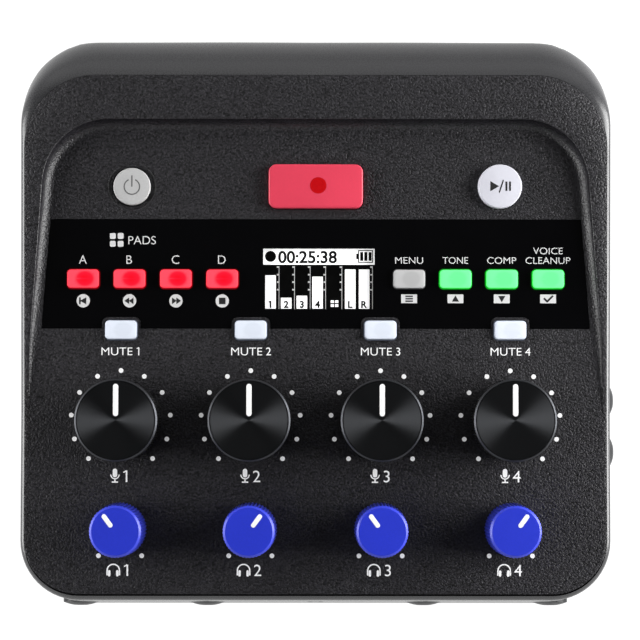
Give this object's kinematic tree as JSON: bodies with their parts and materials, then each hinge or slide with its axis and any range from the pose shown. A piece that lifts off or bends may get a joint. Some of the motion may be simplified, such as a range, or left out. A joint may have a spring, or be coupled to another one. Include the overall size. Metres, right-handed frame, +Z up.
{
  "type": "podcast recorder",
  "caption": "Desk podcast recorder with a sloped panel, channel dials, lit keys, a display, headphone jacks in front and microphone sockets behind.",
  "frame": {"origin": "centre of the case's outline, on the table", "axes": "+X to the user's right, +Y to the rear, +Z up"},
  "size_m": [0.1514, 0.1444, 0.0509],
  "materials": {
    "case_plastic": "smooth satin",
    "panel_plastic": "fine texture",
    "window_plastic": "polished",
    "display_glass": "polished",
    "circuit_board": "lacquered",
    "gold_plate": "gold plated",
    "socket_plastic": "satin",
    "steel": "plated",
    "foot_rubber": "matte",
    "component_plastic": "matte",
    "record_plastic": "satin",
    "grey_plastic": "satin",
    "white_silicone": "lit from below",
    "red_silicone": "lit from below",
    "green_silicone": "lit from below",
    "knob_plastic": "spun top, knurled side",
    "blue_plastic": "ribbed side"
  },
  "bodies": {
    "case": {"lower_case": "case_plastic", "top_cover": "panel_plastic", "display_window": "window_plastic", "lcd_module": "display_glass", "main_board": "circuit_board", "phones_board": "circuit_board", "mic_board": "circuit_board", "mic_inserts": "socket_plastic", "mic_contacts": "gold_plate", "smartphone_jack": "socket_plastic", "line_jack": "socket_plastic", "usb_port": "steel", "card_slot": "steel", "battery_contacts": "steel", "feet": "foot_rubber", "case_screws": "steel", "board_screws": "steel", "mic_pots": "component_plastic", "phones_pots": "component_plastic", "key_switches": "component_plastic", "phones_jack_1": "socket_plastic", "mic_socket_1": "socket_plastic", "phones_jack_2": "socket_plastic", "mic_socket_2": "socket_plastic", "phones_jack_3": "socket_plastic", "mic_socket_3": "socket_plastic", "phones_jack_4": "socket_plastic", "mic_socket_4": "socket_plastic"},
    "pad_key_a": {"pad_key_a": "red_silicone"},
    "pad_key_b": {"pad_key_b": "red_silicone"},
    "pad_key_c": {"pad_key_c": "red_silicone"},
    "pad_key_d": {"pad_key_d": "red_silicone"},
    "menu_key": {"menu_key": "grey_plastic"},
    "tone_key": {"tone_key": "green_silicone"},
    "comp_key": {"comp_key": "green_silicone"},
    "noise_key": {"noise_key": "green_silicone"},
    "mute_key_1": {"mute_key_1": "white_silicone"},
    "mute_key_2": {"mute_key_2": "white_silicone"},
    "mute_key_3": {"mute_key_3": "white_silicone"},
    "mute_key_4": {"mute_key_4": "white_silicone"},
    "record_button": {"record_button": "record_plastic"},
    "power_button": {"power_button": "grey_plastic"},
    "play_button": {"play_button": "white_silicone"},
    "mic_dial_1": {"mic_knob_1": "knob_plastic", "mic_shaft_1": "steel"},
    "phones_dial_1": {"phones_knob_1": "blue_plastic", "phones_shaft_1": "steel"},
    "mic_dial_2": {"mic_knob_2": "knob_plastic", "mic_shaft_2": "steel"},
    "phones_dial_2": {"phones_knob_2": "blue_plastic", "phones_shaft_2": "steel"},
    "mic_dial_3": {"mic_knob_3": "knob_plastic", "mic_shaft_3": "steel"},
    "phones_dial_3": {"phones_knob_3": "blue_plastic", "phones_shaft_3": "steel"},
    "mic_dial_4": {"mic_knob_4": "knob_plastic", "mic_shaft_4": "steel"},
    "phones_dial_4": {"phones_knob_4": "blue_plastic", "phones_shaft_4": "steel"},
    "battery_cover": {"battery_cover": "case_plastic"}
  },
  "joints": [
    {"name": "pad_key_a_press", "type": "slide", "parent": "case", "child": "pad_key_a", "axis": [0, 0.1045, -0.9945], "range_m": [0, 0.0006], "stiffness_N_per_m": 2000},
    {"name": "pad_key_b_press", "type": "slide", "parent": "case", "child": "pad_key_b", "axis": [0, 0.1045, -0.9945], "range_m": [0, 0.0006], "stiffness_N_per_m": 2000},
    {"name": "pad_key_c_press", "type": "slide", "parent": "case", "child": "pad_key_c", "axis": [0, 0.1045, -0.9945], "range_m": [0, 0.0006], "stiffness_N_per_m": 2000},
    {"name": "pad_key_d_press", "type": "slide", "parent": "case", "child": "pad_key_d", "axis": [0, 0.1045, -0.9945], "range_m": [0, 0.0006], "stiffness_N_per_m": 2000},
    {"name": "menu_key_press", "type": "slide", "parent": "case", "child": "menu_key", "axis": [0, 0.1045, -0.9945], "range_m": [0, 0.0006], "stiffness_N_per_m": 2000},
    {"name": "tone_key_press", "type": "slide", "parent": "case", "child": "tone_key", "axis": [0, 0.1045, -0.9945], "range_m": [0, 0.0006], "stiffness_N_per_m": 2000},
    {"name": "comp_key_press", "type": "slide", "parent": "case", "child": "comp_key", "axis": [0, 0.1045, -0.9945], "range_m": [0, 0.0006], "stiffness_N_per_m": 2000},
    {"name": "noise_key_press", "type": "slide", "parent": "case", "child": "noise_key", "axis": [0, 0.1045, -0.9945], "range_m": [0, 0.0006], "stiffness_N_per_m": 2000},
    {"name": "mute_key_1_press", "type": "slide", "parent": "case", "child": "mute_key_1", "axis": [0, 0.1045, -0.9945], "range_m": [0, 0.0006], "stiffness_N_per_m": 2000},
    {"name": "mute_key_2_press", "type": "slide", "parent": "case", "child": "mute_key_2", "axis": [0, 0.1045, -0.9945], "range_m": [0, 0.0006], "stiffness_N_per_m": 2000},
    {"name": "mute_key_3_press", "type": "slide", "parent": "case", "child": "mute_key_3", "axis": [0, 0.1045, -0.9945], "range_m": [0, 0.0006], "stiffness_N_per_m": 2000},
    {"name": "mute_key_4_press", "type": "slide", "parent": "case", "child": "mute_key_4", "axis": [0, 0.1045, -0.9945], "range_m": [0, 0.0006], "stiffness_N_per_m": 2000},
    {"name": "record_button_press", "type": "slide", "parent": "case", "child": "record_button", "axis": [0, 0.1045, -0.9945], "range_m": [0, 0.0008], "stiffness_N_per_m": 2000},
    {"name": "power_button_press", "type": "slide", "parent": "case", "child": "power_button", "axis": [0, 0.1045, -0.9945], "range_m": [0, 0.0008], "stiffness_N_per_m": 2000},
    {"name": "play_button_press", "type": "slide", "parent": "case", "child": "play_button", "axis": [0, 0.1045, -0.9945], "range_m": [0, 0.0008], "stiffness_N_per_m": 2000},
    {"name": "mic_dial_1_turn", "type": "hinge", "parent": "case", "child": "mic_dial_1", "pos_m": [-0.0495, -0.02609, 0.03461], "axis": [0, -0.1045, 0.9945], "range_deg": [-140, 140]},
    {"name": "phones_dial_1_turn", "type": "hinge", "parent": "case", "child": "phones_dial_1", "pos_m": [-0.0495, -0.05344, 0.03173], "axis": [0, -0.1045, 0.9945], "range_deg": [-176, 104]},
    {"name": "mic_dial_2_turn", "type": "hinge", "parent": "case", "child": "mic_dial_2", "pos_m": [-0.0165, -0.02609, 0.03461], "axis": [0, -0.1045, 0.9945], "range_deg": [-140, 140]},
    {"name": "phones_dial_2_turn", "type": "hinge", "parent": "case", "child": "phones_dial_2", "pos_m": [-0.0165, -0.05344, 0.03173], "axis": [0, -0.1045, 0.9945], "range_deg": [-104, 176]},
    {"name": "mic_dial_3_turn", "type": "hinge", "parent": "case", "child": "mic_dial_3", "pos_m": [0.0165, -0.02609, 0.03461], "axis": [0, -0.1045, 0.9945], "range_deg": [-140, 140]},
    {"name": "phones_dial_3_turn", "type": "hinge", "parent": "case", "child": "phones_dial_3", "pos_m": [0.0165, -0.05344, 0.03173], "axis": [0, -0.1045, 0.9945], "range_deg": [-176, 104]},
    {"name": "mic_dial_4_turn", "type": "hinge", "parent": "case", "child": "mic_dial_4", "pos_m": [0.0495, -0.02609, 0.03461], "axis": [0, -0.1045, 0.9945], "range_deg": [-140, 140]},
    {"name": "phones_dial_4_turn", "type": "hinge", "parent": "case", "child": "phones_dial_4", "pos_m": [0.0495, -0.05344, 0.03173], "axis": [0, -0.1045, 0.9945], "range_deg": [-104, 176]},
    {"name": "battery_cover_hinge", "type": "hinge", "parent": "case", "child": "battery_cover", "pos_m": [0, 0.0154, 0.0033], "axis": [1, 0, 0], "range_deg": [0, 96]}
  ]
}
